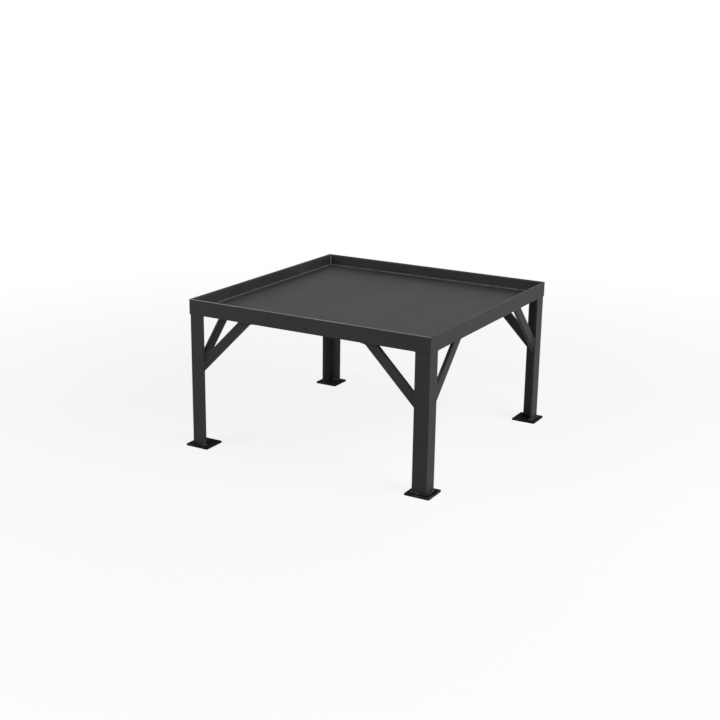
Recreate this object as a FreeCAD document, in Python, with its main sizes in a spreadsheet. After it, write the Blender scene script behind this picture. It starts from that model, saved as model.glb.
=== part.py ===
"""Square welded fire pit: an angle-steel rim with a sheet floor on four braced angle legs.

Millimetres, +Z up, origin on the floor under the middle of the tray.
The front side faces -Y. Each piece is drawn for the front side or the front left corner,
and its copies are the same piece turned about the vertical axis by quarter turns.
"""
import os

import FreeCAD, Part
import Sketcher

# Driving dimensions: name, value in millimetres (the brace angle in degrees), and what it measures.
SIZES = (
    ("rim_width", 700, "outside width of the square rim"),
    ("rim_height", 400, "height of the rim's top edge above the ground"),
    ("rail_height", 40, "upright flange of a rim rail"),
    ("rail_shelf", 40, "lower flange of a rim rail, which carries the floor"),
    ("rail_thickness", 6, "thickness of a rim rail's flanges"),
    ("rail_root_radius", 6, "inner corner radius of a rim rail"),
    ("rail_toe_radius", 3, "radius at the inner side of a rim rail's flange tips"),
    ("floor_thickness", 3, "thickness of the tray's floor sheet"),
    ("floor_clearance", 0.5, "gap between the floor's edge and the start of a rail's root radius"),
    ("leg_flange", 40, "flange width of a leg"),
    ("leg_thickness", 6, "thickness of a leg's flanges"),
    ("leg_root_radius", 6, "inner corner radius of a leg"),
    ("leg_toe_radius", 3, "radius at the inner side of a leg's flange tips"),
    ("leg_corner_radius", 1, "rounding of a leg's outer corner"),
    ("leg_inset", 1.5, "how far a leg's outer faces stand back from the rim's"),
    ("brace_width", 25, "width of a brace's flat bar"),
    ("brace_thickness", 10, "thickness of a brace's flat bar"),
    ("brace_reach", 149, "from a leg's outer corner to the near edge of a brace under the rim"),
    ("brace_angle", 45, "slope of a brace from the level"),
    ("brace_edge_radius", 0.8, "rounding of a brace's long edges"),
    ("brace_clearance", 1, "gap between the two braces of a leg, at their lower ends"),
    ("plate_margin", 14, "how far a foot plate reaches past its leg on each side"),
    ("plate_thickness", 5, "thickness of a foot plate"),
    ("plate_corner_radius", 2.5, "rounding of a foot plate's corners"),
    ("plate_edge_radius", 0.8, "rounding of a foot plate's top edges"),
)

SIDES = ("front", "right", "back", "left")
CORNERS = ("front_left", "front_right", "back_right", "back_left")
QUARTER_TURN = 90.0

# Points of a sketch element, and the sketch's own origin and axes.
START, END = 1, 2
ORIGIN, ORIGIN_POINT = -1, 1

doc = FreeCAD.newDocument("FirePit")
sizes = doc.addObject("Spreadsheet::Sheet", "Sizes")
for row, (name, size, meaning) in enumerate(SIZES, start=1):
    sizes.set(f"A{row}", meaning)
    sizes.set(f"B{row}", str(size))
    sizes.setAlias(f"B{row}", name)
doc.recompute()

# Places that several pieces share, as formulas over the sheet.
HALF_RIM = "Sizes.rim_width / 2"
RIM_UNDERSIDE = "(Sizes.rim_height - Sizes.rail_height)"
LEG_CORNER = f"({HALF_RIM} - Sizes.leg_inset)"


def number(formula):
    """The present value of a formula over the sheet."""
    return float(sizes.evalExpression(formula))


def new_body(label):
    """An empty body whose label is the piece's name."""
    body = doc.addObject("PartDesign::Body", label)
    body.Label = label
    return body


def new_sketch(body, plane, name):
    """A sketch on one of the body's own origin planes."""
    sketch = body.newObject("Sketcher::SketchObject", name)
    support = next(feature for feature in body.Origin.OriginFeatures if feature.Role == plane)
    sketch.AttachmentSupport = [(support, "")]
    sketch.MapMode = "FlatFace"
    return sketch


def bind(sketch, constraint, name, formula):
    """Adds a dimension to a sketch and ties it to a formula over the sheet."""
    index = sketch.addConstraint(constraint)
    sketch.renameConstraint(index, name)
    sketch.setExpression(f"Constraints.{name}", formula)


def hold(sketch, axis, element, point, name, formula):
    """Holds one coordinate of a point at a formula's distance from the sketch's origin."""
    distance = Sketcher.Constraint(f"Distance{axis}", ORIGIN, ORIGIN_POINT, element, point, number(formula))
    bind(sketch, distance, name, formula)


def draw_polygon(sketch, corners):
    """A closed outline of straight lines through corners given as pairs of formulas."""
    points = [FreeCAD.Vector(number(x), number(y), 0) for x, y in corners]
    first = sketch.GeometryCount
    count = len(points)
    for index in range(count):
        sketch.addGeometry(Part.LineSegment(points[index], points[(index + 1) % count]), False)
    for index, (x, y) in enumerate(corners):
        line = first + index
        following = first + (index + 1) % count
        sketch.addConstraint(Sketcher.Constraint("Coincident", line, END, following, START))
        hold(sketch, "X", line, START, f"x{line}", x)
        hold(sketch, "Y", line, START, f"y{line}", y)


def draw_outline(sketch, corners):
    """A closed outline of level and upright lines, listed anticlockwise.

    Each corner is a pair of formulas, with a third for its radius where the corner is round.
    """
    points = [FreeCAD.Vector(number(corner[0]), number(corner[1]), 0) for corner in corners]
    radii = [number(corner[2]) if len(corner) > 2 else 0.0 for corner in corners]
    count = len(corners)
    runs = [(points[(i + 1) % count] - points[i]).normalize() for i in range(count)]
    for i in range(count):
        j = (i + 1) % count
        start = points[i] + runs[i] * radii[i]
        end = points[j] - runs[i] * radii[j]
        sketch.addGeometry(Part.LineSegment(start, end), False)
    for i in range(count):
        level = abs(runs[i].y) < abs(runs[i].x)
        sketch.addConstraint(Sketcher.Constraint("Horizontal" if level else "Vertical", i))
        formula = corners[i][1] if level else corners[i][0]
        hold(sketch, "Y" if level else "X", i, START, f"line{i}", formula)
    for i in range(count):
        incoming = (i - 1) % count
        if radii[i]:
            add_round_corner(sketch, incoming, i, points[i], runs[incoming], runs[i], radii[i], corners[i][2])
        else:
            sketch.addConstraint(Sketcher.Constraint("Coincident", incoming, END, i, START))


def add_round_corner(sketch, incoming, outgoing, corner, run_in, run_out, radius, formula):
    """An arc tangent to the two lines that meet at a corner."""
    left_turn = run_in.x * run_out.y - run_in.y * run_out.x > 0
    centre = corner - run_in * radius + run_out * radius
    tangent_in = corner - run_in * radius
    tangent_out = corner + run_out * radius
    middle = centre + (corner - centre).normalize() * radius
    arc = sketch.addGeometry(Part.Arc(tangent_in, middle, tangent_out), False)
    arc_in, arc_out = (START, END) if left_turn else (END, START)
    sketch.addConstraint(Sketcher.Constraint("Tangent", incoming, END, arc, arc_in))
    sketch.addConstraint(Sketcher.Constraint("Tangent", arc, arc_out, outgoing, START))
    bind(sketch, Sketcher.Constraint("Radius", arc, radius), f"radius{outgoing}", formula)


def pad(body, sketch, formula, reversed_side=False, symmetric=False):
    """Pads a sketch by a length."""
    feature = body.newObject("PartDesign::Pad", f"{body.Name}_pad")
    feature.Profile = sketch
    feature.SideType = "Symmetric" if symmetric else "One side"
    feature.Reversed = reversed_side
    feature.setExpression("Length", formula)
    body.Tip = feature
    doc.recompute()
    return feature


def round_edges(body, base, name, formula, wanted):
    """Rounds the edges of a feature that the test picks out."""
    edges = [f"Edge{i}" for i, edge in enumerate(base.Shape.Edges, start=1) if wanted(edge)]
    fillet = body.newObject("PartDesign::Fillet", f"{body.Name}_{name}")
    fillet.Base = (base, edges)
    fillet.setExpression("Radius", formula)
    body.Tip = fillet
    doc.recompute()
    return fillet


def place(body, turns, x, y, z):
    """Puts a piece at a place given for the front side, then turns it about the vertical by quarter turns."""
    turned = ((x, y), (f"-({y})", x), (f"-({x})", f"-({y})"), (y, f"-({x})"))[turns]
    body.Placement.Rotation = FreeCAD.Rotation(FreeCAD.Vector(0, 0, 1), QUARTER_TURN * turns)
    body.setExpression("Placement.Base.x", turned[0])
    body.setExpression("Placement.Base.y", turned[1])
    body.setExpression("Placement.Base.z", z)


def angle_section(flange_x, flange_y, thickness, root, toe, corner=None):
    """Outline of rolled angle steel with its outer corner at the origin and its flanges along +X and +Y."""
    outer = ("0", "0") if corner is None else ("0", "0", corner)
    return (
        outer,
        (flange_x, "0"),
        (flange_x, thickness, toe),
        (thickness, thickness, root),
        (thickness, flange_y, toe),
        ("0", flange_y),
    )


def make_rail(side, turns):
    """A rim rail: angle steel as long as the rim is wide, with both ends mitred."""
    body = new_body(f"rim_rail_{side}")
    section = new_sketch(body, "YZ_Plane", f"{body.Name}_section")
    draw_outline(section, angle_section("Sizes.rail_shelf", "Sizes.rail_height", "Sizes.rail_thickness",
                                        "Sizes.rail_root_radius", "Sizes.rail_toe_radius"))
    bar = pad(body, section, "Sizes.rim_width", symmetric=True)
    mitres = new_sketch(body, "XY_Plane", f"{body.Name}_mitres")
    inner = f"({HALF_RIM} - Sizes.rail_shelf)"
    for sign in ("", "-"):
        draw_polygon(mitres, (
            (f"{sign}({HALF_RIM})", "0"),
            (f"{sign}({HALF_RIM})", "Sizes.rail_shelf"),
            (f"{sign}{inner}", "Sizes.rail_shelf"),
        ))
    cut = body.newObject("PartDesign::Pocket", f"{body.Name}_mitre_cut")
    cut.Profile = mitres
    cut.Type = "ThroughAll"
    cut.Reversed = True
    body.Tip = cut
    doc.recompute()
    if not cut.Shape.Volume < bar.Shape.Volume:
        raise RuntimeError(f"{body.Label}: the mitres cut nothing")
    place(body, turns, "0", f"-({HALF_RIM})", RIM_UNDERSIDE)
    return body


def make_floor():
    """The tray's floor: a square sheet lying on the rails' lower flanges, clear of their root radius."""
    body = new_body("tray_floor")
    sheet = new_sketch(body, "XY_Plane", f"{body.Name}_outline")
    half = f"({HALF_RIM} - Sizes.rail_thickness - Sizes.rail_root_radius - Sizes.floor_clearance)"
    draw_outline(sheet, ((f"-{half}", f"-{half}"), (half, f"-{half}"), (half, half), (f"-{half}", half)))
    pad(body, sheet, "Sizes.floor_thickness")
    place(body, 0, "0", "0", f"{RIM_UNDERSIDE} + Sizes.rail_thickness")
    return body


def make_leg(corner, turns):
    """A leg: angle steel standing on its foot plate, with its top against the underside of the rim."""
    body = new_body(f"leg_{corner}")
    section = new_sketch(body, "XY_Plane", f"{body.Name}_section")
    draw_outline(section, angle_section("Sizes.leg_flange", "Sizes.leg_flange", "Sizes.leg_thickness",
                                        "Sizes.leg_root_radius", "Sizes.leg_toe_radius",
                                        "Sizes.leg_corner_radius"))
    pad(body, section, f"{RIM_UNDERSIDE} - Sizes.plate_thickness")
    place(body, turns, f"-{LEG_CORNER}", f"-{LEG_CORNER}", "Sizes.plate_thickness")
    return body


def make_brace(side, end, turns):
    """A brace: flat bar from the underside of a rail down to the inner face of a leg's flange.

    Drawn from the leg's outer corner at the height of the rim's underside, towards the middle of the side.
    """
    body = new_body(f"brace_{side}_{end}")
    sign = "" if end == "left" else "-"
    slope = "tan(Sizes.brace_angle * 1 deg)"
    near = "Sizes.brace_reach"
    far = "(Sizes.brace_reach + Sizes.brace_width / sin(Sizes.brace_angle * 1 deg))"
    foot = "(Sizes.leg_thickness + max(Sizes.leg_root_radius; Sizes.brace_thickness) + Sizes.brace_clearance)"
    outline = new_sketch(body, "XZ_Plane", f"{body.Name}_outline")
    draw_polygon(outline, (
        (f"{sign}{near}", "0"),
        (f"{sign}{foot}", f"-({near} - {foot}) * {slope}"),
        (f"{sign}{foot}", f"-({far} - {foot}) * {slope}"),
        (f"{sign}{far}", "0"),
    ))
    bar = pad(body, outline, "Sizes.brace_thickness", reversed_side=True)
    shortest = 2 * number("Sizes.brace_width")
    round_edges(body, bar, "long_edges", "Sizes.brace_edge_radius", lambda edge: edge.Length > shortest)
    corner = f"-{LEG_CORNER}" if end == "left" else LEG_CORNER
    place(body, turns, corner, f"-{LEG_CORNER} + Sizes.leg_thickness", RIM_UNDERSIDE)
    return body


def make_foot_plate(corner, turns):
    """A square foot plate centred under its leg."""
    body = new_body(f"foot_plate_{corner}")
    outline = new_sketch(body, "XY_Plane", f"{body.Name}_outline")
    half = "(Sizes.leg_flange / 2 + Sizes.plate_margin)"
    radius = "Sizes.plate_corner_radius"
    draw_outline(outline, ((f"-{half}", f"-{half}", radius), (half, f"-{half}", radius),
                           (half, half, radius), (f"-{half}", half, radius)))
    plate = pad(body, outline, "Sizes.plate_thickness")
    middle = number("Sizes.plate_thickness") / 2
    round_edges(body, plate, "top_edges", "Sizes.plate_edge_radius",
                lambda edge: edge.BoundBox.ZMin > middle)
    centre = f"({LEG_CORNER} - Sizes.leg_flange / 2)"
    place(body, turns, f"-{centre}", f"-{centre}", "0")
    return body


pieces = [make_floor()]
for turn, side_name in enumerate(SIDES):
    pieces.append(make_rail(side_name, turn))
for turn, corner_name in enumerate(CORNERS):
    pieces.append(make_leg(corner_name, turn))
    pieces.append(make_foot_plate(corner_name, turn))
for turn, side_name in enumerate(SIDES):
    for end_name in ("left", "right"):
        pieces.append(make_brace(side_name, end_name, turn))
doc.recompute()

for item in doc.Objects:
    if "Invalid" in item.State or "Error" in item.State:
        raise RuntimeError(f"{item.Label} did not recompute: {item.State}")
for piece in pieces:
    if piece.Shape.isNull() or not piece.Shape.isValid() or len(piece.Shape.Solids) != 1:
        raise RuntimeError(f"{piece.Label} is not one sound solid")

os.makedirs("parts", exist_ok=True)
for piece in pieces:
    piece.Shape.exportStep(f"parts/{piece.Label}.step")
    print(piece.Label, round(piece.Shape.Volume), piece.Shape.BoundBox)
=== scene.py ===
"""Looks of a square welded fire pit: satin black steel, weld beads, a pale floor, soft light and a camera.

Metres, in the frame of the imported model: +Z up, origin on the ground under the middle of the tray, front
facing -Y. Each weld is worked out once, for the front side or the front left corner, and turned to the
others by quarter turns.
"""

import math

import bmesh
import bpy
import numpy as np
from bpy.props import FloatProperty, FloatVectorProperty
from mathutils import Matrix, Vector


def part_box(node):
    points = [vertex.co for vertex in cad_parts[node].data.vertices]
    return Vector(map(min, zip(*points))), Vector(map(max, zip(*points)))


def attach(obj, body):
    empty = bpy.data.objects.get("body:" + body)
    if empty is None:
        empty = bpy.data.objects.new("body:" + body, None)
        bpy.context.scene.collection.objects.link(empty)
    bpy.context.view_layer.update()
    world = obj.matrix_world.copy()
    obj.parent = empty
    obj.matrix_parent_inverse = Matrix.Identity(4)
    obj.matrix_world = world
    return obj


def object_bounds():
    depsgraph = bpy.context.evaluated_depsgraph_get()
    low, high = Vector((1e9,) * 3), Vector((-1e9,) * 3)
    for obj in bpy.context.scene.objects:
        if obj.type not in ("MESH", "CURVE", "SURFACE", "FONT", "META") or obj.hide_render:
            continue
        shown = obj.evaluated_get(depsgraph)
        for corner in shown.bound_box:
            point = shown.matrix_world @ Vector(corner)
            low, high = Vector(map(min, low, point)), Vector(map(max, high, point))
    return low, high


bl_info = {
    "name": "Welded Fire Pit",
    "version": (1, 0, 0),
    "blender": (4, 5, 0),
    "location": "3D View > Sidebar > Fire Pit",
    "description": "Paints the steel of a square fire pit, adds its weld beads and sets up a plain studio",
    "category": "Object",
}

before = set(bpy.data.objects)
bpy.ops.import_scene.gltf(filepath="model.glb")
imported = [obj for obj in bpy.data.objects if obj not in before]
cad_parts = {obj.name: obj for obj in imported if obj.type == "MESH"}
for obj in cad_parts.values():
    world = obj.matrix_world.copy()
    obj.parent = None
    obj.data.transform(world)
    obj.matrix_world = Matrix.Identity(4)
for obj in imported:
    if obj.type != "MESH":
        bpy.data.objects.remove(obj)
CAD_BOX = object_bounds()

SIDES = ("front", "right", "back", "left")
CORNERS = ("front_left", "front_right", "back_right", "back_left")

# Places that the welds start from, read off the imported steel.
RAIL_LOW, RAIL_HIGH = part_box("rim_rail_right")
HALF_RIM = RAIL_HIGH.x
RIM_TOP = RAIL_HIGH.z
RIM_UNDERSIDE = RAIL_LOW.z
SHELF_EDGE = RAIL_LOW.x
FLOOR_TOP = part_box("tray_floor")[1].z
LEG_LOW, LEG_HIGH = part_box("leg_front_left")
LEG_FLANGE = LEG_HIGH.x - LEG_LOW.x
BRACE_LOW, BRACE_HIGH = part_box("brace_front_left")
BRACE_SLOPE = (BRACE_HIGH.z - BRACE_LOW.z) / (BRACE_HIGH.x - BRACE_LOW.x)

# Resolution of a bead: points round a corner, points across its face, and stations in one ripple.
CORNER_POINTS = 7
FACE_POINTS = 9
RIPPLE_STATIONS = 6
# Shape of a bead: 1 is a round face and 2 a flat one, and how far each ripple bows along the joint.
BULGE = 1.65
CRESCENT = 0.7
# The hand's unsteadiness: length of a sway, and how far it shifts the ripples and changes a bead's size.
SWAY_LENGTH = 0.026
SWAY_SHIFT = 0.09
SWAY_SIZE = 0.035
# The painted highlight along a bead's crest: how strong it is, how narrow it is, and how much less in the
# hollow of a ripple.
CREST_HIGHLIGHT = 0.75
CREST_POWER = 8
CREST_BREAK = 0.6
# How far a bead's hidden root reaches into the steel, its size at an open end, and how late it tapers.
ROOT_DEPTH = 0.0004
END_SHARE = 0.25
END_POWER = 8
# The weld inside a leg's top: its size at the flange tips, and how fast it grows away from them.
TIP_SHARE = 0.2
TIP_GROWTH = 3

# The paint's two noises: clouds with ragged rims, and a plainer, finer grain.
CLOUD_NOISE = {"Detail": 4.0, "Roughness": 0.55}
GRAIN_NOISE = {"Detail": 2.0}
# What turns the noises, which lie about 0.5, into thin clouds, into speckles and into patches of wear and
# painted highlight.
CLOUDS = {"From Min": 0.35, "From Max": 0.65}
SPECKLES = {"From Min": 0.3, "From Max": 0.7, "To Min": -0.4, "To Max": 0.4}
WEAR_AND_HIGHLIGHT_PATCHES = {"From Min": 0.42, "From Max": 0.58}
# Cosines between a face's direction and the rounded one at which the lighter edge, partly wear and partly
# painted highlight, starts and is full.
ROUNDED_EDGES = {"From Min": 0.99, "From Max": 0.75}
EDGE_SAMPLES = 8
# Relief of the grain, and how far the roughness varies with the clouds.
GRAIN_RELIEF = {"Strength": 0.6, "Distance": 0.0003}
ROUGHNESS_SPREAD = 0.12
PAINT_IOR = 1.5
# Depth of the band along the rim's top in which the paint is lighter, as a painted highlight.
HIGHLIGHT_DEPTH = 0.0015
WELD_FINISH = "Painted weld"
GROUND_WELD_FINISH = "Painted weld near the ground"

# The studio floor's rings and sectors, and the root of the inner ring's share of its radius.
FLOOR_RINGS = 24
FLOOR_SECTORS = 96
FLOOR_MIDDLE = 0.002
# Width of the sensor that the lens is given for, in millimetres.
SENSOR_WIDTH = 36.0
WHITE = (1.0, 1.0, 1.0, 1.0)

X_AXIS, Y_AXIS, Z_AXIS = np.eye(3)


def linear(hex_colour):
    """An sRGB hex colour as linear red, green and blue."""
    channels = [int(hex_colour[i:i + 2], 16) / 255 for i in (1, 3, 5)]
    return tuple(c / 12.92 if c <= 0.04045 else ((c + 0.055) / 1.055) ** 2.4 for c in channels)


def per_metre(millimetres):
    """Texture scale at which one feature of a pattern is so many millimetres wide."""
    return 1000 / millimetres


class FirePitSteel(bpy.types.PropertyGroup):
    """Steel sizes that the outer boxes of the pieces don't show."""

    rail_thickness: FloatProperty(
        name="Rail thickness", description="Thickness of a rim rail's flanges",
        default=0.006, unit="LENGTH")
    leg_thickness: FloatProperty(
        name="Leg thickness", description="Thickness of a leg's flanges", default=0.006, unit="LENGTH")
    leg_root: FloatProperty(
        name="Leg root radius", description="Inner corner radius of a leg", default=0.006, unit="LENGTH")
    leg_toe: FloatProperty(
        name="Leg toe radius", description="Radius at a leg's flange tips", default=0.003, unit="LENGTH")
    leg_corner: FloatProperty(
        name="Leg corner radius", description="Rounding of a leg's outer corner",
        default=0.001, unit="LENGTH")
    brace_width: FloatProperty(
        name="Brace width", description="Width of a brace's flat bar", default=0.025, unit="LENGTH")


class FirePitWelds(bpy.types.PropertyGroup):
    """Sizes of the weld beads."""

    seam_reach: FloatProperty(
        name="Tray seam reach", description="How far the tray's seam reaches over the floor",
        default=0.009, unit="LENGTH")
    seam_rise: FloatProperty(
        name="Tray seam rise", description="How far the tray's seam climbs the rim",
        default=0.004, unit="LENGTH")
    seam_corner: FloatProperty(
        name="Tray seam corner", description="Radius of the seam in the tray's corners",
        default=0.010, unit="LENGTH")
    corner_size: FloatProperty(
        name="Corner weld", description="Leg length of the upright welds in the tray's corners",
        default=0.0055, unit="LENGTH")
    mitre_width: FloatProperty(
        name="Mitre weld", description="Half width of the flat bead under each mitre",
        default=0.004, unit="LENGTH")
    mitre_height: FloatProperty(
        name="Mitre weld height", description="Height of the flat bead under each mitre",
        default=0.0012, unit="LENGTH")
    foot_size: FloatProperty(
        name="Foot weld", description="Leg length of the weld between a leg and its plate",
        default=0.005, unit="LENGTH")
    top_size: FloatProperty(
        name="Top weld", description="Leg length of the weld inside a leg's top",
        default=0.005, unit="LENGTH")
    flush_reach: FloatProperty(
        name="Flush weld", description="Reach of the ground weld on a leg's outer faces",
        default=0.0014, unit="LENGTH")
    brace_size: FloatProperty(
        name="Brace weld", description="Leg length of the welds on a brace", default=0.0035, unit="LENGTH")
    brace_run: FloatProperty(
        name="Brace run-out", description="How far a brace's top weld runs on along the rim",
        default=0.015, unit="LENGTH")
    brace_run_depth: FloatProperty(
        name="Brace run-out depth", description="How far the run-out comes down the brace",
        default=0.006, unit="LENGTH")
    ripple_pitch: FloatProperty(
        name="Ripple pitch", description="Distance from one ripple of a bead to the next",
        default=0.0032, unit="LENGTH")
    ripple_depth: FloatProperty(
        name="Ripple depth", description="Depth of the ripples as a share of the bead's size",
        default=0.12, subtype="FACTOR", min=0, max=1)


class FirePitPaint(bpy.types.PropertyGroup):
    """Colours and gloss of the heat-resistant paint."""

    frame_colour: FloatVectorProperty(
        name="Frame paint", description="Paint on the rim, legs and braces",
        size=3, subtype="COLOR", default=linear("#262626"), min=0, max=1)
    frame_shade: FloatVectorProperty(
        name="Frame paint, thin", description="The same paint where the coat is thinner",
        size=3, subtype="COLOR", default=linear("#323232"), min=0, max=1)
    floor_colour: FloatVectorProperty(
        name="Floor paint", description="Paint on the tray's floor sheet",
        size=3, subtype="COLOR", default=linear("#1e1e1e"), min=0, max=1)
    floor_shade: FloatVectorProperty(
        name="Floor paint, thin", description="The same paint where the coat is thinner",
        size=3, subtype="COLOR", default=linear("#2a2a2a"), min=0, max=1)
    # The plates' two colours are darker than the frame's as painted shade, the shade that falls under the
    # tray.
    plate_painted_shade_colour: FloatVectorProperty(
        name="Plate paint", description="Paint on the foot plates, darkened as painted shade",
        size=3, subtype="COLOR", default=linear("#121212"), min=0, max=1)
    plate_painted_shade_thin: FloatVectorProperty(
        name="Plate paint, thin", description="The same paint where the coat is thinner",
        size=3, subtype="COLOR", default=linear("#1c1c1c"), min=0, max=1)
    # A lighter colour on edges, on weld crests and along the front rail's top: partly wear, and partly a
    # painted highlight.
    wear_and_highlight_colour: FloatVectorProperty(
        name="Worn edges and painted highlights", description="Lighter paint on edges, partly wear and partly painted highlight",
        size=3, subtype="COLOR", default=linear("#888888"), min=0, max=1)
    specular: FloatProperty(
        name="Specular level", description="Strength of the coat's reflections",
        default=0.25, subtype="FACTOR", min=0, max=1)
    ground_specular: FloatProperty(
        name="Specular level near the ground", description="The same on the foot plates, which dirt dulls",
        default=0.05, subtype="FACTOR", min=0, max=1)
    roughness: FloatProperty(
        name="Roughness", description="Roughness of the satin coat",
        default=0.6, subtype="FACTOR", min=0, max=1)
    ground_roughness: FloatProperty(
        name="Roughness near the ground", description="The same on the foot plates, which dirt dulls",
        default=0.85, subtype="FACTOR", min=0, max=1)
    edge_roughness: FloatProperty(
        name="Edge roughness", description="Roughness of the rubbed edges",
        default=0.36, subtype="FACTOR", min=0, max=1)


class FirePitStage(bpy.types.PropertyGroup):
    """Studio floor, light and camera."""

    floor_colour: FloatVectorProperty(
        name="Studio floor", description="Colour of the pale floor",
        size=3, subtype="COLOR", default=linear("#ececec"), min=0, max=1)
    floor_bounce: FloatVectorProperty(
        name="Floor bounce",
        description="Colour of the floor to the light, which leaves the underside in shade",
        size=3, subtype="COLOR", default=linear("#404040"), min=0, max=1)
    floor_lift: FloatProperty(
        name="Floor lift",
        description="How much of the floor near the object is white backdrop, not board",
        default=0.85, subtype="FACTOR", min=0, max=1)
    floor_radius: FloatProperty(
        name="Floor radius", description="Radius of the studio floor", default=30.0, unit="LENGTH")
    fade_start: FloatProperty(
        name="Fade start", description="Distance at which the floor starts to turn into white backdrop",
        default=0.7, unit="LENGTH")
    fade_end: FloatProperty(
        name="Fade end", description="Distance from which the floor is all white backdrop",
        default=2.4, unit="LENGTH")
    horizon_light: FloatProperty(
        name="Horizon light", description="Strength of the surrounding light at the horizon",
        default=0.12, min=0)
    zenith_light: FloatProperty(
        name="Zenith light", description="Strength of the surrounding light overhead", default=0.18, min=0)
    box_size: FloatProperty(
        name="Soft box size", description="Width and height of each soft box", default=2.0, unit="LENGTH")
    key_power: FloatProperty(
        name="Key light", description="Power of the soft box on the right",
        default=73.0, unit="POWER", min=0)
    key_place: FloatVectorProperty(
        name="Key place", description="Where the soft box on the right stands",
        size=3, subtype="TRANSLATION", default=(2.5, -0.1, 1.9))
    fill_power: FloatProperty(
        name="Fill light", description="Power of the soft box in front",
        default=52.0, unit="POWER", min=0)
    fill_place: FloatVectorProperty(
        name="Fill place", description="Where the soft box in front stands",
        size=3, subtype="TRANSLATION", default=(-1.6, -2.7, 1.9))
    camera_azimuth: FloatProperty(
        name="Camera azimuth",
        description="Camera's direction round the object, from the front to the right",
        default=math.radians(29.71), subtype="ANGLE")
    camera_elevation: FloatProperty(
        name="Camera elevation", description="Camera's height above the horizon",
        default=math.radians(16.33), subtype="ANGLE")
    camera_roll: FloatProperty(
        name="Camera roll", description="Turn of the camera about its own line of sight",
        default=math.radians(0.80), subtype="ANGLE")
    camera_distance: FloatProperty(
        name="Camera distance", description="From the camera to the point that it looks at",
        default=3.418, unit="LENGTH")
    camera_target: FloatVectorProperty(
        name="Camera target", description="The point that the camera looks at",
        size=3, subtype="TRANSLATION", default=(-0.0301, -0.0157, 0.2038))
    camera_lens: FloatProperty(
        name="Lens", description="Focal length on a 36 mm sensor, in millimetres", default=62.62, min=1)


def turned(points, turns):
    """Points turned about the vertical by quarter turns, anticlockwise seen from above."""
    angle = math.pi / 2 * turns
    cosine, sine = round(math.cos(angle)), round(math.sin(angle))
    return points @ np.array([[cosine, sine, 0], [-sine, cosine, 0], [0, 0, 1]], float)


def outline_line(corners, radii, step):
    """Stations round a closed outline whose outside is on the right of its runs.

    Corner q between runs d and e is an arc of radius r about q - r tan(turn / 2) d, set off by r to the
    inside of a convex corner or the outside of a hollow one. The outward direction turns evenly from
    one run's to the next's. Returns points, outward directions and lengths along the line, evenly
    spaced, and that the line is closed.
    """
    corner = np.asarray(corners, float)
    radius = np.asarray(radii, float)[:, None]
    run = np.roll(corner, -1, 0) - corner
    run /= np.linalg.norm(run, axis=1, keepdims=True)
    before = np.roll(run, 1, 0)
    out_before = np.stack([before[:, 1], -before[:, 0]], 1)
    sideways = before[:, 0] * run[:, 1] - before[:, 1] * run[:, 0]
    turn = np.arctan2(sideways, (before * run).sum(1))[:, None]
    convex = np.sign(turn)
    centre = corner - before * radius * np.tan(np.abs(turn) / 2) - convex * out_before * radius
    angle = turn * np.linspace(0, 1, CORNER_POINTS)
    out = np.stack([
        np.cos(angle) * out_before[:, :1] - np.sin(angle) * out_before[:, 1:],
        np.sin(angle) * out_before[:, :1] + np.cos(angle) * out_before[:, 1:],
    ], 2)
    points = centre[:, None] + (convex * radius)[:, None] * out
    return evenly(points.reshape(-1, 2), out.reshape(-1, 2), step, closed=True)


def straight_line(start, end, out, step):
    """Stations on the straight from start to end, with one outward direction."""
    points = np.array([start, end], float)
    return evenly(points, np.array([out, out], float), step, closed=False)


def evenly(points, outs, step, closed):
    """Resamples key stations at even lengths, measured a step outside so that sharp corners count."""
    if closed:
        points = np.vstack([points, points[:1]])
        outs = np.vstack([outs, outs[:1]])
    lengths = np.linalg.norm(np.diff(points + outs * step, axis=0), axis=1)
    along = np.concatenate([[0], np.cumsum(lengths)])
    count = max(2, round(along[-1] / step * RIPPLE_STATIONS))
    stations = np.linspace(0, along[-1], count, endpoint=not closed)
    spread = [np.interp(stations, along, column) for column in (*points.T, *outs.T)]
    return np.stack(spread[:2], 1), np.stack(spread[2:], 1), stations, closed


def ring_mesh(name, rings, crest, closed):
    """A closed mesh of rings carried along a path: rings[i, j] is point j of the ring at station i.

    The array crest, the painted highlight along a bead's crest, has the same layout and goes into the
    point attribute of that name.
    """
    stations, around = rings.shape[:2]
    index = np.arange(stations * around).reshape(stations, around)
    following = np.roll(index, -1, 0) if closed else index[1:]
    leading = index if closed else index[:-1]
    quads = np.stack([leading, np.roll(leading, -1, 1), np.roll(following, -1, 1), following], 2)
    faces = quads.reshape(-1, 4).tolist()
    if not closed:
        faces += [index[0].tolist(), index[-1].tolist()]
    mesh = bpy.data.meshes.new(name)
    mesh.from_pydata(rings.reshape(-1, 3).tolist(), [], faces)
    mesh.attributes.new("crest", "FLOAT", "POINT").data.foreach_set("value", crest.ravel())
    shell = bmesh.new()
    shell.from_mesh(mesh)
    bmesh.ops.recalc_face_normals(shell, faces=shell.faces)
    shell.to_mesh(mesh)
    shell.free()
    mesh.polygons.foreach_set("use_smooth", np.ones(len(mesh.polygons), bool))
    piece = bpy.data.objects.new(name, mesh)
    bpy.context.scene.collection.objects.link(piece)
    return piece


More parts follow.
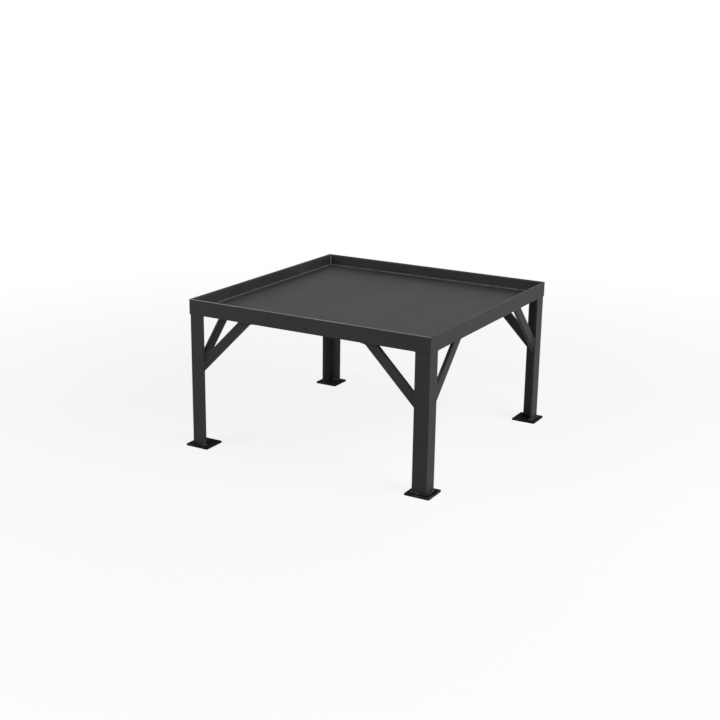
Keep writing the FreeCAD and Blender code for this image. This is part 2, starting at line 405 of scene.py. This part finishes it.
def weld_bead(name, line, reach, rise, origin, axes, turns, welds,
              root=ROOT_DEPTH, butt=False, finish=WELD_FINISH):
    """Adds a painted weld bead along a joint, riding on the frame.

    At share t of the line and angle a, the bead's face is reach cos(a)^BULGE out from the joint line
    and rise sin(a)^BULGE up from the plate, both times 1 - depth |sin(pi (n t + CRESCENT sin(2a)))| for
    n ripples. The hand's sway, two sines with whole numbers of periods in t and a phase of their own at
    each turn, shifts the ripples and changes the size. The angle runs over a quarter turn in a corner,
    or a half turn for a butt bead on a plate. A root point in the steel closes each ring. The line's
    two coordinates and the height are laid along the three axes from the origin, then turned. The
    crest value, a painted highlight in a lighter colour, is a power of sin(2a) in a corner or of sin(a)
    on a plate, less in a ripple's hollow.
    """
    points, outs, stations, closed = line
    length = stations[-1] + stations[1]
    share = (stations / length)[:, None]
    period = 2 * math.pi * share
    sways = round(length / SWAY_LENGTH)
    sway = np.sin(sways * period + turns) + np.sin((2 * sways + 1) * period + 2 * turns)
    angle = np.linspace(0, math.pi if butt else math.pi / 2, FACE_POINTS)
    ripples = round(length / welds.ripple_pitch)
    hollow = np.abs(np.sin(math.pi * (ripples * share + SWAY_SHIFT * sway + CRESCENT * np.sin(2 * angle))))
    size = (1 - welds.ripple_depth * hollow) * (1 + SWAY_SIZE * sway)
    # The crest value is a painted highlight: the lighter colour that a bead's crest gets.
    crest = CREST_HIGHLIGHT * np.sin(angle if butt else 2 * angle) ** CREST_POWER * (1 - CREST_BREAK * hollow)
    if not closed:
        way = 2 * stations / stations[-1] - 1
        size = size * (END_SHARE + (1 - END_SHARE) * np.sqrt(1 - way ** END_POWER))[:, None]
    outward = np.sign(np.cos(angle)) * np.abs(np.cos(angle)) ** BULGE
    upward = np.abs(np.sin(angle)) ** BULGE
    reaches = np.broadcast_to(reach, stations.shape)[:, None] * outward * size
    rises = np.broadcast_to(rise, stations.shape)[:, None] * upward * size
    inward = 0 if butt else root
    offset = np.hstack([reaches, np.full((len(stations), 1), -inward)])
    height = np.hstack([rises, np.full((len(stations), 1), -root)])
    flat = points[:, None] + outs[:, None] * offset[:, :, None]
    place = np.concatenate([flat, height[:, :, None]], 2)
    rings = turned(np.asarray(origin, float) + place @ np.asarray(axes, float), turns)
    bead = ring_mesh(name, rings, np.hstack([crest, np.zeros((len(stations), 1))]), closed)
    bead.data.materials.append(bpy.data.materials[finish])
    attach(bead, "root")


def add_node(tree, kind, settings=None, **links):
    """Adds a shader node, sets its properties and inputs, and links sockets to its inputs.

    A link's key is the input's name, with _ for a space, or _ and the input's index.
    """
    node = tree.nodes.new(kind)
    for key, value in (settings or {}).items():
        if hasattr(node, key):
            setattr(node, key, value)
        else:
            node.inputs[key].default_value = value
    for key, socket in links.items():
        place = int(key[1:]) if key[0] == "_" else key.replace("_", " ")
        tree.links.new(socket, node.inputs[place])
    return node


def new_material(name):
    """An empty node material and its tree."""
    material = bpy.data.materials.new(name)
    material.use_nodes = True
    material.node_tree.nodes.clear()
    return material, material.node_tree


def opaque(colour):
    """A colour with full alpha."""
    return (*colour, 1.0)


def stove_paint(name, coat, thin_coat, paint, patch_mm, grain_mm, edge_wear_and_highlight=0.5, edge_reach=0.002,
                least_wear_and_highlight=0.25, highlight_above=None, dulled=False):
    """Satin black silicone stove paint, sprayed on steel.

    To the eye it is an even near-black with soft cloudy patches, a broad sheen where it is seen at a
    low angle, a fine sprayed grain that breaks up the highlights, and lighter, smoother edges, whose
    lighter colour is partly wear and partly a painted highlight.
    The real grain is about 1 mm wide, too fine for a picture in which a pixel covers 3 mm, so it is
    drawn a few millimetres wide. The crests of weld beads get the lighter colour too, as a painted
    highlight, by the beads' own attribute, which reads as 0 on other pieces, and so does everything
    above a height, where one is given, as a painted highlight along the rim's top. Dulled by dirt, the
    coat is rougher and reflects less.
    """
    specular = paint.ground_specular if dulled else paint.specular
    roughness = paint.ground_roughness if dulled else paint.roughness
    material, tree = new_material(name)
    place = add_node(tree, "ShaderNodeTexCoord").outputs["Object"]
    patches = add_node(tree, "ShaderNodeTexNoise", {**CLOUD_NOISE, "Scale": per_metre(patch_mm)},
                       Vector=place).outputs["Fac"]
    grain = add_node(tree, "ShaderNodeTexNoise", {**GRAIN_NOISE, "Scale": per_metre(grain_mm)},
                     Vector=place).outputs["Fac"]
    # The coat is thinner, and lighter, in the clouds and in the grain.
    cloud = add_node(tree, "ShaderNodeMapRange", CLOUDS, Value=patches)
    speckle = add_node(tree, "ShaderNodeMapRange", SPECKLES, Value=grain)
    thinness = add_node(tree, "ShaderNodeMath", {"operation": "ADD", "use_clamp": True},
                        _0=cloud.outputs["Result"], _1=speckle.outputs["Result"])
    # A Mix node's colours are its inputs 6 and 7, its numbers inputs 2 and 3, and its colour output 2.
    body = add_node(tree, "ShaderNodeMix", {"data_type": "RGBA"}, _0=thinness.outputs[0])
    body.inputs[6].default_value = opaque(coat)
    body.inputs[7].default_value = opaque(thin_coat)
    # Lighter edges, partly wear and partly painted highlight: where the surface turns within the reach,
    # its rounded direction leaves the face's own.
    rounding = {"samples": EDGE_SAMPLES, "Radius": edge_reach}
    soft = add_node(tree, "ShaderNodeBevel", rounding).outputs["Normal"]
    face = add_node(tree, "ShaderNodeNewGeometry").outputs["Normal"]
    agreement = add_node(tree, "ShaderNodeVectorMath", {"operation": "DOT_PRODUCT"}, _0=soft, _1=face)
    edges = add_node(tree, "ShaderNodeMapRange", {**ROUNDED_EDGES, "To Max": edge_wear_and_highlight},
                     Value=agreement.outputs["Value"])
    # Along a weld bead's crest, the lighter colour is a painted highlight.
    crests = add_node(tree, "ShaderNodeAttribute", {"attribute_name": "crest"})
    wear_and_highlight_mask = add_node(tree, "ShaderNodeMath", {"operation": "MAXIMUM"},
                      _0=edges.outputs["Result"], _1=crests.outputs["Fac"]).outputs[0]
    # Above the given height, along the front rail's top, the lighter colour is a painted highlight.
    if highlight_above is not None:
        height = add_node(tree, "ShaderNodeSeparateXYZ", None, Vector=place).outputs["Z"]
        top = add_node(tree, "ShaderNodeMapRange", {"From Min": highlight_above, "From Max": RIM_TOP},
                       Value=height)
        wear_and_highlight_mask = add_node(tree, "ShaderNodeMath", {"operation": "MAXIMUM"},
                          _0=wear_and_highlight_mask, _1=top.outputs["Result"]).outputs[0]
    patchy = add_node(tree, "ShaderNodeMapRange", {**WEAR_AND_HIGHLIGHT_PATCHES, "To Min": least_wear_and_highlight}, Value=patches)
    patchy_wear_and_highlight = add_node(tree, "ShaderNodeMath", {"operation": "MULTIPLY", "use_clamp": True},
                   _0=wear_and_highlight_mask, _1=patchy.outputs["Result"]).outputs[0]
    # The lighter colour mixed in here is partly wear on edges and partly a painted highlight.
    colour = add_node(tree, "ShaderNodeMix", {"data_type": "RGBA"}, _0=patchy_wear_and_highlight, _6=body.outputs[2])
    colour.inputs[7].default_value = opaque(paint.wear_and_highlight_colour)
    satin = add_node(tree, "ShaderNodeMapRange",
                     {"To Min": roughness - ROUGHNESS_SPREAD, "To Max": roughness + ROUGHNESS_SPREAD},
                     Value=patches)
    polish = add_node(tree, "ShaderNodeMix", {"data_type": "FLOAT"}, _0=patchy_wear_and_highlight, _2=satin.outputs["Result"])
    polish.inputs[3].default_value = paint.edge_roughness
    relief = add_node(tree, "ShaderNodeBump", GRAIN_RELIEF, Height=grain, Normal=soft)
    shader = add_node(tree, "ShaderNodeBsdfPrincipled", {"IOR": PAINT_IOR, "Specular IOR Level": specular},
                      Base_Color=colour.outputs[2], Roughness=polish.outputs[0],
                      Normal=relief.outputs["Normal"])
    add_node(tree, "ShaderNodeOutputMaterial", None, Surface=shader.outputs["BSDF"])
    return material


def rolled_steel_paint(paint):
    """Rails, legs and braces: hot-rolled sections, whose uneven skin gives clouds as broad as a hand."""
    return stove_paint("Stove paint on rolled steel", paint.frame_colour, paint.frame_shade, paint,
                       patch_mm=120, grain_mm=3)


def highlighted_rail_paint(paint):
    """The front rail: as the others, but lighter and smoother along its top, a painted highlight that
    shows as a thin bright line.
    """
    return stove_paint("Stove paint on rolled steel, painted highlight on top", paint.frame_colour, paint.frame_shade,
                       paint, patch_mm=120, grain_mm=3, least_wear_and_highlight=0.7,
                       highlight_above=RIM_TOP - HIGHLIGHT_DEPTH)


def sheet_paint(paint):
    """The tray's floor: smooth sheet, darker than the frame, with wide clouds under a soft sheen."""
    return stove_paint("Stove paint on steel sheet", paint.floor_colour, paint.floor_shade, paint,
                       patch_mm=180, grain_mm=3.5)


def plate_paint(paint):
    """The foot plates: nearly black as painted shade, dull and rough, in small blotches, with lighter
    edges that are partly wear and partly painted highlight.
    """
    return stove_paint("Stove paint on plate steel", paint.plate_painted_shade_colour, paint.plate_painted_shade_thin, paint,
                       patch_mm=20, grain_mm=3, edge_wear_and_highlight=0.6, edge_reach=0.005, dulled=True)


def weld_paint(paint):
    """Weld beads on the frame: a lighter painted highlight along the crest, so that a bead shows as a
    light, broken line.
    """
    return stove_paint(WELD_FINISH, paint.frame_colour, paint.frame_shade, paint,
                       patch_mm=14, grain_mm=2, edge_wear_and_highlight=0.0, least_wear_and_highlight=0.6)


def ground_weld_paint(paint):
    """Weld beads on the foot plates: the plates' dull coat, dark as painted shade, with a painted
    highlight only in a few bright spots.
    """
    return stove_paint(GROUND_WELD_FINISH, paint.plate_painted_shade_colour, paint.plate_painted_shade_thin, paint,
                       patch_mm=14, grain_mm=2, edge_wear_and_highlight=0.0, least_wear_and_highlight=0.1, dulled=True)


class FIREPIT_OT_paint_steel(bpy.types.Operator):
    """Paint the steel pieces, and make ready the paint for the welds"""

    bl_idname = "fire_pit.paint_steel"
    bl_label = "Paint Steel"

    def execute(self, context):
        paint = context.scene.fire_pit_paint
        frame_paint = rolled_steel_paint(paint)
        coats = {"rim_rail_front": highlighted_rail_paint(paint), "tray_floor": sheet_paint(paint)}
        plates = [f"foot_plate_{corner}" for corner in CORNERS]
        coats.update(dict.fromkeys(plates, plate_paint(paint)))
        weld_paint(paint)
        ground_weld_paint(paint)
        for name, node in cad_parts.items():
            node.data.materials.clear()
            node.data.materials.append(coats.get(name, frame_paint))
        return {"FINISHED"}


class FIREPIT_OT_weld_tray(bpy.types.Operator):
    """Add the seam round the tray's floor, the upright corner welds and the beads under the mitres"""

    bl_idname = "fire_pit.weld_tray"
    bl_label = "Weld Tray"

    def execute(self, context):
        welds = context.scene.fire_pit_welds
        steel = context.scene.fire_pit_steel
        step = welds.ripple_pitch
        wall = HALF_RIM - steel.rail_thickness
        # Clockwise seen from above, so that the outside of the line is the inside of the tray.
        square = ((-wall, -wall), (-wall, wall), (wall, wall), (wall, -wall))
        seam = outline_line(square, [welds.seam_corner] * 4, step)
        weld_bead("weld_tray_seam", seam, welds.seam_reach, welds.seam_rise, FLOOR_TOP * Z_AXIS,
                  (X_AXIS, Y_AXIS, Z_AXIS), 0, welds)
        upright = straight_line((FLOOR_TOP, 0), (RIM_TOP - welds.corner_size / 2, 0), (0, 1), step)
        # Under a mitre, from the weld inside the leg's top to the corner of the rails' lower flanges.
        start = LEG_LOW.x + steel.leg_thickness + welds.top_size
        end = -SHELF_EDGE - welds.mitre_width
        across = (math.sqrt(0.5), -math.sqrt(0.5))
        under = straight_line((start, start), (end, end), across, step)
        for turns, corner in enumerate(CORNERS):
            weld_bead(f"weld_tray_corner_{corner}", upright, welds.corner_size, welds.corner_size,
                      (-wall, -wall, 0), (Z_AXIS, X_AXIS, Y_AXIS), turns, welds)
            weld_bead(f"weld_mitre_{corner}", under, welds.mitre_width, welds.mitre_height,
                      RIM_UNDERSIDE * Z_AXIS, (X_AXIS, Y_AXIS, -Z_AXIS), turns, welds, butt=True)
        return {"FINISHED"}


class FIREPIT_OT_weld_legs(bpy.types.Operator):
    """Add the welds round the foot and the top of each leg"""

    bl_idname = "fire_pit.weld_legs"
    bl_label = "Weld Legs"

    def execute(self, context):
        welds = context.scene.fire_pit_welds
        steel = context.scene.fire_pit_steel
        wall, flange = steel.leg_thickness, LEG_FLANGE
        section = ((0, 0), (flange, 0), (flange, wall), (wall, wall), (wall, flange), (0, flange))
        radii = (steel.leg_corner, 0, steel.leg_toe, steel.leg_root, steel.leg_toe, 0)
        line = outline_line(section, radii, welds.ripple_pitch)
        points, outs = line[:2]
        # The top weld is full size in the angle, and thin on the flange tips and on the outer faces, where
        # it is ground flush with the rim.
        from_tips = np.clip(TIP_SHARE + TIP_GROWTH * (1 - points.max(1) / flange), 0, 1)
        inside = np.clip(0.5 + outs.sum(1), 0, 1) * from_tips
        top_reach = welds.flush_reach + (welds.top_size - welds.flush_reach) * inside
        foot = (LEG_LOW.x, LEG_LOW.y, LEG_LOW.z)
        top = (LEG_LOW.x, LEG_LOW.y, LEG_HIGH.z)
        for turns, corner in enumerate(CORNERS):
            # The foot welds take the plates' dark paint, which is painted shade.
            weld_bead(f"weld_foot_{corner}", line, welds.foot_size, welds.foot_size, foot,
                      (X_AXIS, Y_AXIS, Z_AXIS), turns, welds, finish=GROUND_WELD_FINISH)
            weld_bead(f"weld_top_{corner}", line, top_reach, top_reach, top,
                      (X_AXIS, Y_AXIS, -Z_AXIS), turns, welds)
        return {"FINISHED"}


class FIREPIT_OT_weld_braces(bpy.types.Operator):
    """Add the welds at the top of each brace and where it lies on its leg"""

    bl_idname = "fire_pit.weld_braces"
    bl_label = "Weld Braces"

    def execute(self, context):
        welds = context.scene.fire_pit_welds
        steel = context.scene.fire_pit_steel
        step = welds.ripple_pitch
        level = steel.brace_width / math.sin(math.atan(BRACE_SLOPE))
        near, far = BRACE_HIGH.x - level, BRACE_HIGH.x
        outer, inner = BRACE_LOW.y, BRACE_HIGH.y
        top = outline_line(((near, outer), (far, outer), (far, inner), (near, inner)), [0] * 4, step)
        # The run-out: on the far side, which meets the rim at a wide angle, the weld runs on along it.
        outs = top[1]
        beyond = np.clip(outs[:, 0], 0, 1) ** 2
        reach = welds.brace_size + (welds.brace_run - welds.brace_size) * beyond
        rise = welds.brace_size + (welds.brace_run_depth - welds.brace_size) * beyond
        tip = LEG_LOW.x + LEG_FLANGE
        lap = (BRACE_LOW.x, tip - steel.leg_toe)
        slant = np.array([1, BRACE_SLOPE]) / math.hypot(1, BRACE_SLOPE)
        upper = [(x, RIM_UNDERSIDE - (near - x) * BRACE_SLOPE) for x in lap]
        lower = [(x, RIM_UNDERSIDE - (far - x) * BRACE_SLOPE) for x in lap]
        edges = {
            "upper": straight_line(*upper, (-slant[1], slant[0]), step),
            "lower": straight_line(*lower, (slant[1], -slant[0]), step),
        }
        toe = straight_line((tip, RIM_UNDERSIDE - (far - tip) * BRACE_SLOPE),
                            (tip, RIM_UNDERSIDE - (near - tip) * BRACE_SLOPE), (1, 0), step)
        for turns, side in enumerate(SIDES):
            for end, hand in (("left", 1), ("right", -1)):
                across = hand * X_AXIS
                down_the_brace = -Z_AXIS - across / BRACE_SLOPE
                name = f"weld_brace_{side}_{end}"
                weld_bead(f"{name}_top", top, reach, rise, RIM_UNDERSIDE * Z_AXIS,
                          (across, Y_AXIS, down_the_brace), turns, welds)
                for edge, line in edges.items():
                    weld_bead(f"{name}_{edge}", line, welds.brace_size, welds.brace_size, outer * Y_AXIS,
                              (across, Z_AXIS, Y_AXIS), turns, welds)
                weld_bead(f"{name}_toe", toe, welds.brace_size, welds.brace_size, outer * Y_AXIS,
                          (across, Z_AXIS, -Y_AXIS), turns, welds, root=steel.leg_toe / 2)
        return {"FINISHED"}


class FIREPIT_OT_set_stage(bpy.types.Operator):
    """Set up the pale floor, the soft light and the camera"""

    bl_idname = "fire_pit.set_stage"
    bl_label = "Set Stage"

    def execute(self, context):
        stage = context.scene.fire_pit_stage
        context.scene.view_settings.view_transform = "Standard"
        self.add_floor(context, stage)
        self.add_world(context, stage)
        self.add_soft_box(context, stage, "Key soft box", stage.key_power, stage.key_place)
        self.add_soft_box(context, stage, "Fill soft box", stage.fill_power, stage.fill_place)
        self.add_camera(context, stage)
        return {"FINISHED"}

    def add_floor(self, context, stage):
        """A disc of radius R: point (u, t) is R u^2 (cos t, sin t) at height 0, with u up to 1."""
        share, angle = np.meshgrid(
            np.linspace(FLOOR_MIDDLE, 1, FLOOR_RINGS) ** 2,
            np.linspace(0, 2 * math.pi, FLOOR_SECTORS, endpoint=False), indexing="ij")
        radius = share * stage.floor_radius
        points = np.stack([radius * np.cos(angle), radius * np.sin(angle), np.zeros_like(radius)], 2)
        index = np.arange(radius.size).reshape(radius.shape)
        quads = np.stack([index[:-1], index[1:], np.roll(index[1:], -1, 1), np.roll(index[:-1], -1, 1)], 2)
        faces = quads.reshape(-1, 4).tolist() + [index[0].tolist()]
        mesh = bpy.data.meshes.new("studio_floor")
        mesh.from_pydata(points.reshape(-1, 3).tolist(), [], faces)
        mesh.materials.append(self.floor_board(stage))
        floor = bpy.data.objects.new("studio_floor", mesh)
        context.scene.collection.objects.link(floor)

    def floor_board(self, stage):
        """Painted studio board: a matt pale surface that takes the object's shadow.

        Away from the object it turns into the white of the backdrop, so that no horizon shows.
        """
        material, tree = new_material("Pale studio board")
        place = add_node(tree, "ShaderNodeTexCoord").outputs["Object"]
        distance = add_node(tree, "ShaderNodeVectorMath", {"operation": "LENGTH"}, _0=place)
        fade = add_node(tree, "ShaderNodeMapRange",
                        {"interpolation_type": "SMOOTHSTEP", "From Min": stage.fade_start,
                         "From Max": stage.fade_end, "To Min": stage.floor_lift},
                        Value=distance.outputs["Value"])
        seen = self.seen_directly(tree)
        share = add_node(tree, "ShaderNodeMath", {"operation": "MULTIPLY"},
                         _0=fade.outputs["Result"], _1=seen)
        tint = add_node(tree, "ShaderNodeMix", {"data_type": "RGBA"}, _0=seen)
        tint.inputs[6].default_value = opaque(stage.floor_bounce)
        tint.inputs[7].default_value = opaque(stage.floor_colour)
        board = add_node(tree, "ShaderNodeBsdfDiffuse", None, Color=tint.outputs[2])
        white = add_node(tree, "ShaderNodeEmission", {"Color": WHITE, "Strength": 1.0})
        mixed = add_node(tree, "ShaderNodeMixShader", None,
                         _0=share.outputs[0], _1=board.outputs[0], _2=white.outputs[0])
        add_node(tree, "ShaderNodeOutputMaterial", None, Surface=mixed.outputs[0])
        return material

    def seen_directly(self, tree):
        """A socket that is 1 for rays from the camera and for reflections, and 0 for light."""
        path = add_node(tree, "ShaderNodeLightPath")
        mirrored = add_node(tree, "ShaderNodeMath", {"operation": "MAXIMUM"},
                            _0=path.outputs["Is Glossy Ray"], _1=path.outputs["Is Transmission Ray"])
        seen = add_node(tree, "ShaderNodeMath", {"operation": "MAXIMUM"},
                        _0=path.outputs["Is Camera Ray"], _1=mirrored.outputs[0])
        return seen.outputs[0]

    def add_world(self, context, stage):
        """White surroundings to the camera and in reflections; as light, a sky that brightens upwards."""
        world = bpy.data.worlds.new("White studio")
        world.use_nodes = True
        tree = world.node_tree
        tree.nodes.clear()
        direction = add_node(tree, "ShaderNodeTexCoord").outputs["Generated"]
        height = add_node(tree, "ShaderNodeSeparateXYZ", None, Vector=direction).outputs["Z"]
        sky = add_node(tree, "ShaderNodeMapRange",
                       {"To Min": stage.horizon_light, "To Max": stage.zenith_light}, Value=height)
        strength = add_node(tree, "ShaderNodeMix", {"data_type": "FLOAT"},
                            _0=self.seen_directly(tree), _2=sky.outputs["Result"])
        strength.inputs[3].default_value = 1.0
        white = add_node(tree, "ShaderNodeBackground", {"Color": WHITE}, Strength=strength.outputs[0])
        add_node(tree, "ShaderNodeOutputWorld", None, Surface=white.outputs[0])
        context.scene.world = world

    def add_soft_box(self, context, stage, name, power, place):
        """A square soft box that faces the middle of the object."""
        light = bpy.data.lights.new(name, "AREA")
        light.energy = power
        light.size = stage.box_size
        box = bpy.data.objects.new(name, light)
        box.location = place
        middle = (CAD_BOX[0] + CAD_BOX[1]) / 2
        box.rotation_euler = (middle - Vector(place)).to_track_quat("-Z", "Y").to_euler()
        context.scene.collection.objects.link(box)

    def add_camera(self, context, stage):
        """A camera that sees the front and right sides from a little above, for a square picture."""
        lens = bpy.data.cameras.new("Camera")
        lens.lens = stage.camera_lens
        lens.sensor_width = SENSOR_WIDTH
        azimuth, elevation = stage.camera_azimuth, stage.camera_elevation
        level = math.cos(elevation)
        back = Vector((math.sin(azimuth) * level, -math.cos(azimuth) * level, math.sin(elevation)))
        camera = bpy.data.objects.new("Camera", lens)
        upright = (-back).to_track_quat("-Z", "Y").to_matrix().to_4x4()
        place = Matrix.Translation(Vector(stage.camera_target) + back * stage.camera_distance)
        camera.matrix_world = place @ upright @ Matrix.Rotation(stage.camera_roll, 4, "Z")
        context.scene.collection.objects.link(camera)
        context.scene.camera = camera


class FIREPIT_PT_sidebar(bpy.types.Panel):
    """The fire pit's steps, in the order in which they are made"""

    bl_idname = "FIREPIT_PT_sidebar"
    bl_label = "Fire Pit"
    bl_space_type = "VIEW_3D"
    bl_region_type = "UI"
    bl_category = "Fire Pit"

    def draw(self, context):
        for operator in OPERATORS:
            self.layout.operator(operator.bl_idname)


GROUPS = {
    "fire_pit_steel": FirePitSteel,
    "fire_pit_welds": FirePitWelds,
    "fire_pit_paint": FirePitPaint,
    "fire_pit_stage": FirePitStage,
}
OPERATORS = (
    FIREPIT_OT_paint_steel,
    FIREPIT_OT_weld_tray,
    FIREPIT_OT_weld_legs,
    FIREPIT_OT_weld_braces,
    FIREPIT_OT_set_stage,
)


def register():
    for name, group in GROUPS.items():
        bpy.utils.register_class(group)
        setattr(bpy.types.Scene, name, bpy.props.PointerProperty(type=group))
    for operator in OPERATORS:
        bpy.utils.register_class(operator)
    bpy.utils.register_class(FIREPIT_PT_sidebar)


def unregister():
    bpy.utils.unregister_class(FIREPIT_PT_sidebar)
    for operator in reversed(OPERATORS):
        bpy.utils.unregister_class(operator)
    for name, group in reversed(GROUPS.items()):
        delattr(bpy.types.Scene, name)
        bpy.utils.unregister_class(group)


def main():
    register()
    bpy.ops.fire_pit.paint_steel()
    bpy.ops.fire_pit.weld_tray()
    bpy.ops.fire_pit.weld_legs()
    bpy.ops.fire_pit.weld_braces()
    bpy.ops.fire_pit.set_stage()


if __name__ == "__main__":
    main()
